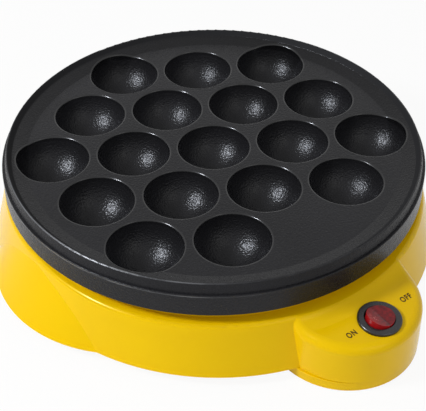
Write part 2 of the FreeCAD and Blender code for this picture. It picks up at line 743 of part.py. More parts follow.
def strapsAndScrews():
    clips = [strap(angle, "clipSeat", "strapInnerReach", "strapOuterReach") for angle in clipAngles]
    subPart("heater_clips", fuse(clips))
    subPart("fuse_clip", strap(fuseAngle, "fuseSeat", "fuseOffset + fuseRadius", "strapInnerReach"))
    seats = [(angle, "clipSeat") for angle in clipAngles] + [(fuseAngle, "fuseSeat")]
    screws = []
    for angle, seat in seats:
        x, y = ringPlaces("clipCircle", [angle])[0]
        screws += smallScrew(x, y, f"{seat} - strapThickness", "smallScrewLength")
    subPart("clip_screws", fuse(screws))


def smallScrew(x, y, seat, length):
    """A pan-headed screw that points up, with its head's upper face on the seat."""
    return [rod("smallHeadRadius", "smallHeadHeight", x, y, f"({seat}) - smallHeadHeight"),
            rod("smallScrewRadius", length, x, y, seat)]


def thermalFuse():
    x = "-(clipCircle - fuseOffset)"
    z = "fuseSeat + fuseRadius"
    case = rod("fuseRadius", "fuseLength", x, "-fuseLength / 2", z, "Y")
    wire = rod("fuseTailRadius", "fuseLength + 2 * fuseTail", x, "-fuseLength / 2 - fuseTail", z, "Y")
    subPart("thermal_fuse", fuse([case, wire]))


def thermostat():
    """A snap-action disc thermostat: cap against the plate's pad, two ears, two tabs."""
    y = "thermostatY"
    cap = rod("thermostatCapRadius", "thermostatCapHeight", "0", y, "earSeat")
    body = rod("thermostatRadius", "thermostatHeight", "0", y, "earSeat - thermostatHeight")
    ears = block("2 * (thermostatEarSpan + thermostatEarWidth / 2)", "thermostatEarWidth", "strapThickness",
                 "0", y, "earSeat - strapThickness")
    holes = [strapHole(x, place, "earSeat") for x, place in earPlaces]
    tabs = [block("strapThickness", "thermostatTabWidth", "thermostatTabLength", x, y,
                  "earSeat - thermostatHeight - thermostatTabLength")
            for x in ("thermostatRadius / 2", "-thermostatRadius / 2")]
    subPart("thermostat", fuse([cut(fuse([ears, body, cap]), holes)] + tabs))
    screws = []
    for x, place in earPlaces:
        screws += smallScrew(x, place, "earSeat - strapThickness", "smallScrewLength")
    subPart("thermostat_screws", fuse(screws))


# ---------- reflector pan and the posts that carry the plate ----------

def reflectorPan():
    body = newBody("ReflectorPan")
    outer, thick = "collarRadius - panGap", "panThickness"
    section = [("0", "ledgeHeight"), (outer, "ledgeHeight", "2 * " + thick),
               (outer, "ledgeHeight + panRimHeight"), (f"{outer} - {thick}", "ledgeHeight + panRimHeight"),
               (f"{outer} - {thick}", "panTop", thick), ("0", "panTop")]
    feature(body, "Revolution", "Pan", drawOutline(body, "PanSection", "XZ_Plane", section))
    bush = "heaterRadius + heaterClearance + bushWall + heaterClearance"
    holes = [(x, y, "postScrewRadius + throughClearance") for x, y in postPlaces]
    holes += [(x, y, bush) for x, y in legPlaces]
    holes += [("0", "earthY", "earthScrewRadius + screwClearance")]
    sketch = drawCircles(body, "PanHoles", holes, z="panTop")
    feature(body, "Pocket", "Holes", sketch, Length="2 * panThickness")
    return subPart("reflector_pan", body)


def plateMounting():
    """Four spacers between pan and posts, with a screw and washer below each."""
    hole = "postScrewRadius + throughClearance"
    under = "ledgeHeight - housingWall"
    tubes, bores, washers, washerBores, screws = [], [], [], [], []
    for x, y in postPlaces:
        tubes.append(rod(f"{hole} + spacerWall", "postFoot - panTop", x, y, "panTop"))
        bores.append(rod(hole, "2 * (postFoot - panTop)", x, y, "panTop - (postFoot - panTop) / 2"))
        washers.append(rod("washerRadius", "washerThickness", x, y, f"{under} - washerThickness"))
        washerBores.append(rod(hole, "3 * washerThickness", x, y, f"{under} - 2 * washerThickness"))
        seat = f"({under} - washerThickness)"
        screws.append(rod("postHeadRadius", "postHeadHeight", x, y, f"{seat} - postHeadHeight"))
        screws.append(rod("postScrewRadius", f"postFoot + postScrewReach - {seat}", x, y, seat))
    subPart("plate_spacers", cut(fuse(tubes), bores))
    subPart("plate_washers", cut(fuse(washers), washerBores))
    subPart("plate_screws", fuse(screws))


def earthing():
    """Earth tab under the pan, held by a screw and nut."""
    hole = "earthScrewRadius + screwClearance"
    seat = "ledgeHeight - strapThickness"
    tab = block("earthTabWidth", "earthTabLength", "strapThickness", "0", "earthY + earthTabLength / 4",
                seat)
    hook = block("earthTabWidth", "strapThickness", "earthTabLength / 2", "0",
                 "earthY + 3 * earthTabLength / 4 - strapThickness / 2", f"{seat} - earthTabLength / 2")
    subPart("earth_tab", cut(fuse([tab, hook]), [rod(hole, "3 * strapThickness", "0", "earthY",
                                                     f"{seat} - strapThickness")]))
    subPart("earth_screw", fuse([
        rod("earthHeadRadius", "earthHeadHeight", "0", "earthY", f"{seat} - earthHeadHeight"),
        rod("earthScrewRadius", "strapThickness + panThickness + earthNutHeight + earthScrewTip",
            "0", "earthY", seat)]))
    nut = doc.addObject("Part::Prism", "Nut")
    nut.Polygon = 6
    bind(nut, {"Circumradius": "earthNutFlats / sqrt(3)", "Height": "earthNutHeight"})
    place(nut, "0", "earthY", "panTop")
    bore = rod(hole, "2 * earthNutHeight", "0", "earthY", "panTop - earthNutHeight / 2")
    subPart("earth_nut", cut(nut, [bore]))


# ---------- moulded housing ----------

bossAngles = ["0", "60", "120", "180", "240", "300"]


def lobeCircle(body, name, radius, x, height):
    return drawCircles(body, name, [(x, "0", radius)], z=height)


def loft(body, kind, name, first, second):
    thing = body.newObject("PartDesign::" + kind, name)
    thing.Profile = first
    thing.Sections = [second]
    thing.Ruled = True
    return thing


def drum(body):
    """The flared body of the housing: two half rounds and the straight piece between their centres."""
    half = [("0", "housingFoot"), ("drumFoot", "housingFoot"), ("drumTop", "shelfHeight", "drumEdge"),
            ("0", "shelfHeight")]
    whole = half[1:3] + [("-drumTop", "shelfHeight", "drumEdge"), ("-drumFoot", "housingFoot")]
    sketch = drawOutline(body, "MiddleSection", "XZ_Plane", whole)
    feature(body, "Pad", "Middle", sketch, Length="2 * drumShift", Midplane=True)
    for name, shift, front in (("Front", "drumShift", True), ("Back", "-drumShift", False)):
        sketch = drawOutline(body, name + "Section", "XZ_Plane", half, z=shift)
        feature(body, "Revolution", name, sketch, Angle=180, Reversed=front)


def baseHousing():
    body = newBody("BaseHousing")
    drum(body)
    first = lobeCircle(body, "LobeFoot", "lobeRadius", "lobeFootX", "housingFoot")
    second = lobeCircle(body, "LobeTop", "lobeTopRadius", "lobeTopX", "lobeTopHeight")
    mirrored(body, "Lobes", [loft(body, "AdditiveLoft", "Lobe", first, second)], "YZ_Plane")
    boss = drawCircles(body, "GlandBossSketch", [("0", "glandHeight", "glandBossRadius")], role="XZ_Plane",
                       z="-glandFace")
    feature(body, "Pad", "GlandBoss", boss, Length="glandFace - collarRadius", Reversed=False)
    joined = body.newObject("PartDesign::Boolean", "WithConsole")
    joined.Type = "Fuse"
    joined.setObjects([console()])
    body.Tip = joined
    hollow(body)
    collar(body)
    return subPart("base_housing", body)


def console():
    """The round control console, whose gently sloped top sweeps up to the drum's rim."""
    body = newBody("Console")
    foot = drawCircles(body, "ConsoleFoot", [("0", "consoleY", "consoleRadius")], z="housingFoot")
    top = drawCircles(body, "ConsoleTop", [("0", "consoleY", "consoleRadius - consoleDraft")], z="consoleTop")
    loft(body, "AdditiveLoft", "Column", foot, top)
    high, far = "shelfHeight + 2 * consoleEdge", "2 * consoleReach"
    section = [("drumTop - 2 * consoleEdge / tan(sweepAngle)", high),
               ("drumTop + sweepRun", "sweepLow", "sweepBend"),
               (far, f"switchHeight - ({far} - switchRun) * tan(consoleSlope)"), (far, high)]
    sweep = drawOutline(body, "SweepSection", "XZ_Plane", section, z="drumShift")
    feature(body, "Groove", "Sweep", sweep)
    roundEdges(body, "ConsoleEdge", "consoleEdge", isConsoleEdge)
    level = drawCircles(body, "LevelSketch", [("0", "consoleY", "2 * consoleRadius")], z="consoleTop + consoleEdge")
    feature(body, "Pocket", "Level", level, Length="2 * consoleEdge")
    roundEdges(body, "ConsoleRim", "drumEdge", lambda edge: edge.BoundBox.ZMin > value("shelfHeight") - touch)
    return body


def isConsoleEdge(edge):
    """An edge round the swept top, where it meets the console's wall."""
    low, high = edge.BoundBox.ZMin, edge.BoundBox.ZMax
    if low < value("housingFoot") + touch or low > value("consoleTop") - touch:
        return False
    middle = edge.valueAt((edge.FirstParameter + edge.LastParameter) / 2)
    reach = math.hypot(middle.x, middle.y - value("consoleY"))
    return high > low + touch and reach > value("consoleRadius - consoleDraft") - touch


def hollow(body):
    """Cavities inside drum, lobes and console, open at the bottom."""
    wall = "housingWall"
    lower = drawStadium(body, "CavityFoot", f"drumFoot + flareSlope * overlap - {wall}",
                        "housingFoot - overlap")
    upper = drawStadium(body, "CavityTop", f"drumTop + flareSlope * {wall} - {wall}", f"shelfHeight - {wall}")
    loft(body, "SubtractiveLoft", "DrumCavity", lower, upper)
    first = lobeCircle(body, "LobeCavityFoot", f"lobeRadius - {wall}", "lobeFootX", "housingFoot")
    second = lobeCircle(body, "LobeCavityTop", f"lobeTopRadius - {wall}", "lobeTopX",
                        f"lobeTopHeight - {wall}")
    cavity = loft(body, "SubtractiveLoft", "LobeCavity", first, second)
    mirrored(body, "LobeCavities", [cavity], "YZ_Plane")
    ceiling = "switchHeight - switchInset * tan(consoleSlope) - housingWall"
    inside = [("0", "consoleY", f"consoleRadius - consoleDraft - {wall}")]
    room = drawCircles(body, "ConsoleRoomSketch", inside, z="housingFoot")
    feature(body, "Pocket", "ConsoleRoom", room, Length=f"{ceiling} - housingFoot", Reversed=True)
    cutout = drawCircles(body, "SwitchCutoutSketch", [("0", "switchY", "barrelRadius + cutoutClearance")],
                         z="housingFoot")
    feature(body, "Pocket", "SwitchCutout", cutout, Length="shelfHeight", Reversed=True)
    seat = drawCircles(body, "SeatSketch", [("0", "0", "bezelRadius + cutoutClearance")], y="switchY",
                       z="switchHeight")
    seat.setExpression("AttachmentOffset.Rotation.Axis.x", "1")
    seat.setExpression("AttachmentOffset.Rotation.Axis.z", "0")
    seat.setExpression("AttachmentOffset.Rotation.Angle", bound("consoleSlope"))
    feature(body, "Pocket", "SwitchSeat", seat, Length="shelfHeight - housingFoot", Reversed=True)


def collar(body):
    """Inner collar with the ledge that carries the pan, screw bosses, and the plate's opening."""
    wall, under = "housingWall", "ledgeHeight - housingWall"
    mouth = drawCircles(body, "MouthSketch", [("0", "0", "collarRadius")], z="shelfHeight")
    feature(body, "Pocket", "Mouth", mouth, Length=f"2 * {wall}")
    outer, top = f"collarRadius + {wall}", "collarTop"
    section = [("innerLedge", under), (outer, under), (outer, top), ("collarRadius", top),
               ("collarRadius", "ledgeHeight"), ("innerLedge", "ledgeHeight")]
    feature(body, "Revolution", "Collar", drawOutline(body, "CollarSection", "XZ_Plane", section))
    bosses = [(x, y, "bossRadius") for x, y in ringPlaces("bossCircle", bossAngles)]
    sketch = drawCircles(body, "BossSketch", bosses, z="coverTop")
    feature(body, "Pad", "Bosses", sketch, Length=f"{under} + {wall} / 2 - coverTop")
    bores = [(x, y, "smallScrewRadius + screwClearance") for x, y in ringPlaces("bossCircle", bossAngles)]
    sketch = drawCircles(body, "BoreSketch", bores, z="coverTop")
    feature(body, "Pocket", "BossBores", sketch, Length="smallScrewLength + boreSpare", Reversed=True)
    holes = [(x, y, "postScrewRadius + throughClearance") for x, y in postPlaces]
    sketch = drawCircles(body, "PostHoleSketch", holes, z="ledgeHeight")
    feature(body, "Pocket", "PostHoles", sketch, Length=f"2 * {wall}")
    entry = drawCircles(body, "GlandHoleSketch", [("0", "glandHeight", "glandBodyRadius + screwClearance")],
                        role="XZ_Plane", z="-glandFace")
    feature(body, "Pocket", "GlandHole", entry, Length=f"glandFace - collarRadius - {wall}", Reversed=True)


# ---------- bottom cover, screws and feet ----------

footPlaces = [("footX", "footY"), ("-footX", "footY"), ("-footX", "-footY"), ("footX", "-footY")]
rubberPlaces = footPlaces + [("0", "consoleY")]


def bottomCover():
    body = newBody("BottomCover")
    thick = "coverThickness"
    disc = drawStadium(body, "DiscSketch", "coverRadius", "housingFoot")
    feature(body, "Pad", "Disc", disc, Length=thick)
    lobe = drawCircles(body, "LobeSketch", [("coverLobeX", "0", "coverLobeRadius")], z="housingFoot")
    mirrored(body, "Lobes", [feature(body, "Pad", "Lobe", lobe, Length=thick)], "YZ_Plane")
    neck = drawCircles(body, "NeckSketch", [("0", "consoleY", "coverConsole")], z="padTop")
    feature(body, "Pad", "Neck", neck, Length="coverTop - padTop")
    pad = drawCircles(body, "PadSketch", [("0", "frontPadY", "frontPadRadius")], z="rubberProud")
    feature(body, "Pad", "FrontPad", pad, Length="padTop - rubberProud")
    feet = drawCircles(body, "FeetSketch", [(x, y, "footRadius") for x, y in footPlaces], z="rubberProud")
    feature(body, "Pad", "Feet", feet, Length="housingFoot - rubberProud")
    seats = [(x, y, "rubberRadius + rubberClearance") for x, y in rubberPlaces]
    sketch = drawCircles(body, "SeatSketch", seats, z="rubberProud")
    feature(body, "Pocket", "Seats", sketch, Length="rubberSeat", Reversed=True)
    holes = [(x, y, "smallScrewRadius + throughClearance") for x, y in ringPlaces("bossCircle", bossAngles)]
    sketch = drawCircles(body, "HoleSketch", holes, z="coverTop")
    feature(body, "Pocket", "Holes", sketch, Length="2 * coverThickness")
    ventSlots(body)
    return subPart("bottom_cover", body)


def ventSlots(body):
    """A row of slots across the middle."""
    x = "slotLength / 2"
    near, far = "-2 * slotPitch - slotWidth / 2", "-2 * slotPitch + slotWidth / 2"
    corners = [("-" + x, near), (x, near), (x, far), ("-" + x, far)]
    sketch = drawOutline(body, "SlotSketch", "XY_Plane", corners, z="coverTop")
    slot = feature(body, "Pocket", "Slot", sketch, Length="2 * coverThickness")
    row = body.newObject("PartDesign::LinearPattern", "Slots")
    row.Originals = [slot]
    row.Direction = (sketch, ["V_Axis"])
    row.Occurrences = 5
    row.setExpression("Length", bound("4 * slotPitch"))
    body.Tip = row


def feetAndScrews():
    feet = [rod("rubberRadius", "rubberProud + rubberSeat", x, y, "0") for x, y in rubberPlaces]
    subPart("rubber_feet", fuse(feet))
    screws = []
    for x, y in ringPlaces("bossCircle", bossAngles):
        screws += smallScrew(x, y, "housingFoot", "coverThickness + smallScrewLength")
    subPart("bottom_screws", fuse(screws))


# ---------- cord gland and terminal block ----------

def cordGland():
    """A bush in the back wall: flange outside, tail for the cord, body through the wall."""
    start = "glandFace - glandInside"
    z = "glandHeight"
    body = rod("glandBodyRadius", "glandInside", "0", start, z, "Y")
    flange = rod("glandFlangeRadius", "glandFlange", "0", "glandFace", z, "Y")
    tail = doc.addObject("Part::Cone", "Tail")
    bind(tail, {"Radius1": "glandTailRadius + glandTaper", "Radius2": "glandTailRadius", "Height": "glandTail"})
    tail.Placement.Rotation = FreeCAD.Rotation(FreeCAD.Vector(1, 0, 0), -90)
    place(tail, "0", "glandFace + glandFlange", z)
    bore = rod("glandBore", "2 * (rearReach - glandFace + glandInside)", "0", f"{start} - glandInside", z,
               "Y")
    subPart("cord_gland", cut(fuse([body, flange, tail]), [bore]))


def terminalBlock():
    base = block("blockLength", "blockWidth", "blockHeight", "blockX", "blockY", "coverTop")
    holes, screws = [], []
    for shift in ("-blockPitch", "0", "blockPitch"):
        x = f"blockX + {shift}"
        holes.append(rod("blockHoleRadius", "blockHeight", x, "blockY", "coverTop + blockHeight / 2"))
        holes.append(rod("wireHoleRadius", "2 * blockWidth", x, "blockY - blockWidth",
                         "coverTop + blockHeight / 3", "Y"))
        screws.append(rod("blockHoleRadius - screwClearance", "blockHeight / 3", x, "blockY",
                          "coverTop + blockHeight / 2"))
    subPart("terminal_block", cut(base, holes))
    subPart("terminal_screws", fuse(screws))


# ---------- rocker switch, drawn about the seat of its bezel ----------

def switchPart(label, thing, tilt=0.0):
    """Stand a switch piece on the console's sloped top; tilt turns it about its own pivot."""
    thing.Label = label
    lean = FreeCAD.Rotation(FreeCAD.Vector(1, 0, 0), value("consoleSlope"))
    thing.Placement.Rotation = lean.multiply(FreeCAD.Rotation(FreeCAD.Vector(0, 1, 0), tilt))
    place(thing, "0", "centreY + switchY", "switchHeight")
    parts[label] = thing
    return thing


def switchBody():
    body = newBody("SwitchBody")
    section = [("0", "-barrelDepth"), ("barrelRadius", "-barrelDepth"), ("barrelRadius", "0"),
               ("bezelRadius", "0"), ("bezelRadius", "bezelHeight", "bezelRound"),
               ("cavityRadius", "bezelHeight"), ("cavityRadius", "-cavityDepth"), ("0", "-cavityDepth")]
    feature(body, "Revolution", "Shell", drawOutline(body, "ShellSection", "XZ_Plane", section))
    pivot = drawCircles(body, "PivotSketch", [("0", "0", "pivotRadius + pivotClearance")], role="XZ_Plane")
    feature(body, "Pocket", "PivotHoles", pivot, Length="2 * (cavityRadius + pivotDepth + pivotClearance)",
            Midplane=True)
    x, y = "fulcrumHeight / 2", "leverWidth / 2"
    foot = drawOutline(body, "FulcrumSketch", "XZ_Plane",
                       [("-" + x, "-cavityDepth - overlap"), (x, "-cavityDepth - overlap"),
                        (x, "-cavityDepth"), ("0", "leverHeight"), ("-" + x, "-cavityDepth")])
    feature(body, "Pad", "Fulcrum", foot, Length="leverWidth", Midplane=True)
    return switchPart("switch_body", body)


def switchRocker():
    """Lens with two wings that meet in a valley, pivot stubs and the plunger below."""
    body = newBody("SwitchRocker")
    foot = "-rockerDepth"
    disc = drawCircles(body, "DiscSketch", [("0", "0", "rockerRadius")], z=foot)
    feature(body, "Pad", "Disc", disc, Length="rockerEdge + rockerDepth")
    side = "2 * rockerRadius"
    high = "rockerTop + 2 * rockerRadius * tan(rockerTilt)"
    valley = [("0", "rockerTop"), (side, high), (side, "4 * rockerEdge"), ("-" + side, "4 * rockerEdge"),
              ("-" + side, high)]
    sketch = drawOutline(body, "ValleySection", "XZ_Plane", valley)
    feature(body, "Pocket", "Valley", sketch, Length="4 * rockerRadius", Midplane=True)
    stubs = drawCircles(body, "StubSketch", [("0", "0", "pivotRadius")], role="XZ_Plane")
    feature(body, "Pad", "Stubs", stubs, Length="2 * (cavityRadius + pivotDepth)", Midplane=True)
    plunger = drawCircles(body, "PlungerSketch", [("0", "0", "plungerRadius")], z=foot)
    feature(body, "Pad", "Plunger", plunger, Length="plungerLength", Reversed=True)
    return switchPart("switch_rocker", body, value("rockerTilt"))


def switchInside():
    """Contact lever on its fulcrum, lamp and blades."""
    lever = doc.addObject("Part::Box", "Lever")
    bind(lever, {"Length": "leverLength", "Width": "leverWidth", "Height": "leverThickness"})
    lever.Placement.Rotation = FreeCAD.Rotation(FreeCAD.Vector(0, 1, 0), -value("leverTilt"))
    place(lever, "-leverLength / 2 * cos(leverTilt)", "-leverWidth / 2",
          "leverHeight - leverLength / 2 * sin(leverTilt)")
    switchPart("contact_lever", group([lever]))
    glass = rod("lampRadius", "lampLength", "-lampLength / 2", "lampOffset", "lampRadius - cavityDepth", "X")
    switchPart("switch_lamp", group([glass]))
    blades = [block("bladeThickness", "bladeWidth", "bladeLength", x, "0", "-barrelDepth - bladeLength")
              for x in ("-bladePitch", "0", "bladePitch")]
    switchPart("switch_blades", group(blades))


bakingPlate()
heatingElement()
heaterEnds()
strapsAndScrews()
thermalFuse()
thermostat()
reflectorPan()
plateMounting()
earthing()
baseHousing()
bottomCover()
feetAndScrews()
cordGland()
terminalBlock()
switchBody()
switchRocker()
switchInside()
doc.recompute()

failed = [thing.Label for thing in doc.Objects if "Invalid" in thing.State or "Error" in thing.State]
if failed:
    raise RuntimeError("failed objects: " + ", ".join(failed))
for label, thing in parts.items():
    if thing.Shape.isNull() or not thing.Shape.isValid() or not thing.Shape.Solids:
        raise RuntimeError("bad shape: " + label)

os.makedirs("parts", exist_ok=True)
for label, thing in parts.items():
    thing.Shape.exportStep(f"parts/{label}.step")
print(f"{len(parts)} sub-parts written")
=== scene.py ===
import json
import math

import bmesh
import bpy
from mathutils import Matrix, Vector


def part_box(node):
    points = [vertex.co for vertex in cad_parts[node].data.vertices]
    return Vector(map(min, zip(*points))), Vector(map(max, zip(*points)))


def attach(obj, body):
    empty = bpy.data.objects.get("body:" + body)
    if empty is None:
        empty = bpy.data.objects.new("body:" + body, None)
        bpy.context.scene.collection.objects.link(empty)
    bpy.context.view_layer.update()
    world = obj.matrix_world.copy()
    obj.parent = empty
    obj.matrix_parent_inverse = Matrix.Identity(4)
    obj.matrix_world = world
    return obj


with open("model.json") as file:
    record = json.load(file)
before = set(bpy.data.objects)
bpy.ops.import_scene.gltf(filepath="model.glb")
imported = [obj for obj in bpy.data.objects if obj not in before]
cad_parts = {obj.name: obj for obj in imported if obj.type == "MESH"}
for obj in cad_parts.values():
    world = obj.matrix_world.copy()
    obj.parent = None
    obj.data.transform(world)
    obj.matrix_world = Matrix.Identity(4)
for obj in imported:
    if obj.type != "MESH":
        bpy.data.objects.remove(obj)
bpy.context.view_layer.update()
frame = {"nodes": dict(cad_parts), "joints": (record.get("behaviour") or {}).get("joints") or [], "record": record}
cadNodes = frame["nodes"]
rocker = next(joint for joint in frame["joints"] if joint["name"] == "rocker_tilt")
wells = [entry["box_m"] for entry in frame["record"]["physics"]["openings"]
         if entry["name"].startswith("well_")]

aimDepth = 0.0051            # camera and lamps aim this far below the plate's lip, on its axis


def plateCentre():
    low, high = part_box("baking_plate")
    return Vector(((low.x + high.x) / 2, (low.y + high.y) / 2, high.z - aimDepth))


def addObject(name, data):
    made = bpy.data.objects.new(name, data)
    bpy.context.scene.collection.objects.link(made)
    return made


# the camera stands to the left of the console and looks down at the plate
camera = {
    "turn": -37.24,          # degrees round the object, 0 looks along +Y
    "lift": 40.55,           # degrees above the table
    "distance": 0.6493,      # from the middle of the plate
    "aimRight": -0.0004,     # the aim leaves that middle by this much across the picture
    "aimUp": -0.0331,
    "lens": 97.62,
    "sensor": 36,
    "clip": (0.01, 20),
}


def makeCamera():
    turn, lift = math.radians(camera["turn"]), math.radians(camera["lift"])
    back = Vector((math.sin(turn) * math.cos(lift), -math.cos(turn) * math.cos(lift), math.sin(lift)))
    right = Vector((math.cos(turn), math.sin(turn), 0))
    up = back.cross(right)
    data = bpy.data.cameras.new("camera")
    data.sensor_fit = "HORIZONTAL"
    data.sensor_width = camera["sensor"]
    data.lens = camera["lens"]
    data.clip_start, data.clip_end = camera["clip"]
    made = addObject("camera", data)
    made.location = (plateCentre() + back * camera["distance"]
                     + right * camera["aimRight"] + up * camera["aimUp"])
    made.rotation_euler = (math.pi / 2 - lift, 0, turn)
    bpy.context.scene.camera = made


makeCamera()
print("camera set")


class Wire:                  # one output socket; arithmetic on it adds Math nodes
    def __init__(self, nodes, socket):
        self.nodes, self.socket = nodes, socket

    def maths(self, operation, *values):
        return self.nodes.add("ShaderNodeMath", {"operation": operation}, dict(enumerate(values)))

    def __add__(self, other):
        return self.maths("ADD", self, other)

    def __sub__(self, other):
        return self.maths("SUBTRACT", self, other)

    def __rsub__(self, other):
        return self.maths("SUBTRACT", other, self)

    def __mul__(self, other):
        return self.maths("MULTIPLY", self, other)

    def __abs__(self):
        return self.maths("ABSOLUTE", self)

    def least(self, other):
        return self.maths("MINIMUM", self, other)

    def most(self, other):
        return self.maths("MAXIMUM", self, other)

    def band(self, low, high, bottom=0.0, top=1.0):      # stretches low..high to bottom..top and clamps
        names = {"From Min": low, "From Max": high, "To Min": bottom, "To Max": top}
        return self.nodes.add("ShaderNodeMapRange", {"clamp": True}, {"Value": self, **names})

    def fade(self, near, far):       # 1 up to near, 0 from far on
        return self.band(near, far, 1.0, 0.0)

    __radd__ = __add__
    __rmul__ = __mul__


class Nodes:                 # adds nodes to one node tree
    def __init__(self, tree):
        self.tree = tree

    def feed(self, node, values):
        for key, value in values.items():
            if isinstance(value, Wire):
                self.tree.links.new(value.socket, node.inputs[key])
            else:
                node.inputs[key].default_value = value

    def add(self, kind, settings=None, values=None, out=0):      # settings first, then the sockets
        node = self.tree.nodes.new(kind)
        for key, value in (settings or {}).items():
            setattr(node, key, value)
        self.feed(node, values or {})
        return Wire(self, node.outputs[out])

    def place(self):         # object coordinates, in metres
        return self.add("ShaderNodeTexCoord", out="Object")

    def vector(self, operation, first, second, out="Vector"):
        return self.add("ShaderNodeVectorMath", {"operation": operation}, {0: first, 1: second}, out)

    def distance(self, first, second):
        return self.vector("DISTANCE", first, second, "Value")

    def dot(self, first, second):
        return self.vector("DOT_PRODUCT", first, second, "Value")

    def noise(self, scale, detail=2):
        values = {"Vector": self.place(), "Scale": scale, "Detail": detail}
        return self.add("ShaderNodeTexNoise", None, values)

    def cells(self, scale):
        return self.add("ShaderNodeTexVoronoi", None, {"Vector": self.place(), "Scale": scale})

    def mix(self, factor, first, second):        # 6 and 7 are a Mix node's colours, 2 is its colour out
        return self.add("ShaderNodeMix", {"data_type": "RGBA"}, {0: factor, 6: first, 7: second}, 2)

    def bump(self, height, strength, distance):
        values = {"Height": height, "Strength": strength, "Distance": distance}
        return self.add("ShaderNodeBump", None, values)

    def seen(self):          # 1 for rays from the camera and for reflected and refracted ones
        direct, mirrored, refracted = (self.add("ShaderNodeLightPath", out=name) for name in
                                       ("Is Camera Ray", "Is Glossy Ray", "Is Transmission Ray"))
        return (direct + mirrored + refracted).least(1.0)

    def blend(self, factor, first, second, output):      # mixes two shaders and feeds the output
        mixed = self.add("ShaderNodeMixShader", None, {0: factor, 1: first, 2: second})
        self.tree.links.new(mixed.socket, self.tree.nodes[output].inputs["Surface"])


class Finish(Nodes):         # one material, built on its Principled shader
    def __init__(self, name):
        self.material = bpy.data.materials.new(name)
        self.material.use_nodes = True
        super().__init__(self.material.node_tree)
        self.shader = self.tree.nodes["Principled BSDF"]

    def set(self, **sockets):        # Base_Color=..., Roughness=...
        self.feed(self.shader, {key.replace("_", " "): value for key, value in sockets.items()})
        return self.material


def linear(red, green, blue):        # a colour given as 0..255 screen values
    def lift(c):
        c /= 255
        return c / 12.92 if c <= 0.04045 else ((c + 0.055) / 1.055) ** 2.4
    return lift(red), lift(green), lift(blue), 1.0


# spans of a noise's values that a finish stretches; the narrower, the more contrast
soft, crisp, sharp = (0.3, 0.7), (0.35, 0.65), (0.4, 0.6)

plateLook = {
    "dark": linear(25, 25, 27),
    "light": linear(33, 33, 36),
    "cloudScale": 18,        # soft patches of dark and light
    "cloudShare": 0.6,       # the grains have the rest
    "grainScale": 1500,      # grains to the metre
    "flakeScale": 900,
    "grainDepth": 0.00026,
    "grainBump": 0.6,
    "flakeBump": 0.5,
    "roughness": (0.21, 0.34),
    "specular": 0.15,
    "wellRadius": 0.0204,    # middle of a well's rounded rim
    "rimFade": (0.00035, 0.0007),        # the rim's band is full at the first distance, gone at the second
    "rimGloss": 0.45,
    "edges": [(0.1120, -0.0036), (0.1151, -0.0002), (0.1178, -0.0067)],     # radius, height from the top
    "edgeFade": (0.00014, 0.00049),
    "edgeGloss": 0.1,
    "smoothRoughness": 0.26,             # on the rims, and along the rubbed, painted-highlight edges
    "glossRoughness": 0.15,
    "worn": linear(132, 134, 138),       # the edges' coating, partly rubbed thin, partly a painted highlight
    # how strongly the pale edges show
    "wear": 0.7,
    "wearSide": (-0.96, -0.28, 0),       # the pale edges are strongest on this side, where the key lamp's painted highlight falls, and the one across
    "wearReach": (0.074, 0.112),         # from the plate's middle that way: where the pale edges are faintest, where strongest
    "leastWear": 0.05,
    "wearScale": 60,
    "wearPatches": (0.36, 0.52, 0.4),    # span of the noise, and the pale edges' strength between the patches
    "slope": (0.1048, 0.1121, 0.1149),   # radii: where the field starts to rise, the lip's foot, its crest
    "slopeFade": 0.00035,
    "faceRoughness": 0.75,               # the lip's inner face
    # painted shade: near black that the slope, the lip's inner face and the wells' rims are darkened towards
    "soot": linear(6, 6, 7),
    "slopeSoot": 0.4,
    "faceSoot": 0.3,
    "rimSoot": 0.5,
}


# masks of the plate's pale edges (rubbed coating and painted highlight), the rims of its wells, its slope with the
# lip, and the lip's inner face
def plateMasks(finish, look):
    centre, top = plateCentre(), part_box("baking_plate")[1].z
    at = finish.place()
    flat = finish.vector("MULTIPLY", at, (1, 1, 0))
    radius = finish.distance(flat, (centre.x, centre.y, 0))
    section = finish.add("ShaderNodeCombineXYZ", None, {"X": radius, "Y": finish.dot(at, (0, 0, 1))})
    gap, rim = 1.0, 1.0
    for ring, drop in look["edges"]:
        gap = finish.distance(section, (ring, top + drop, 0)).least(gap)
    for near, far in wells:
        middle = ((near[0] + far[0]) / 2, (near[1] + far[1]) / 2, 0)
        rim = abs(finish.distance(flat, middle) - look["wellRadius"]).least(rim)
    side = finish.dot(finish.vector("SUBTRACT", at, centre), look["wearSide"])
    wear = abs(side).band(*look["wearReach"], look["leastWear"])
    inner, foot, crest = look["slope"]
    fade = look["slopeFade"]
    slope = radius.band(inner - fade, inner + fade) * radius.fade(crest, crest + fade)
    face = radius.band(foot, foot + fade) * radius.fade(crest - fade, crest)
    return gap.fade(*look["edgeFade"]) * wear, rim.fade(*look["rimFade"]), slope, face


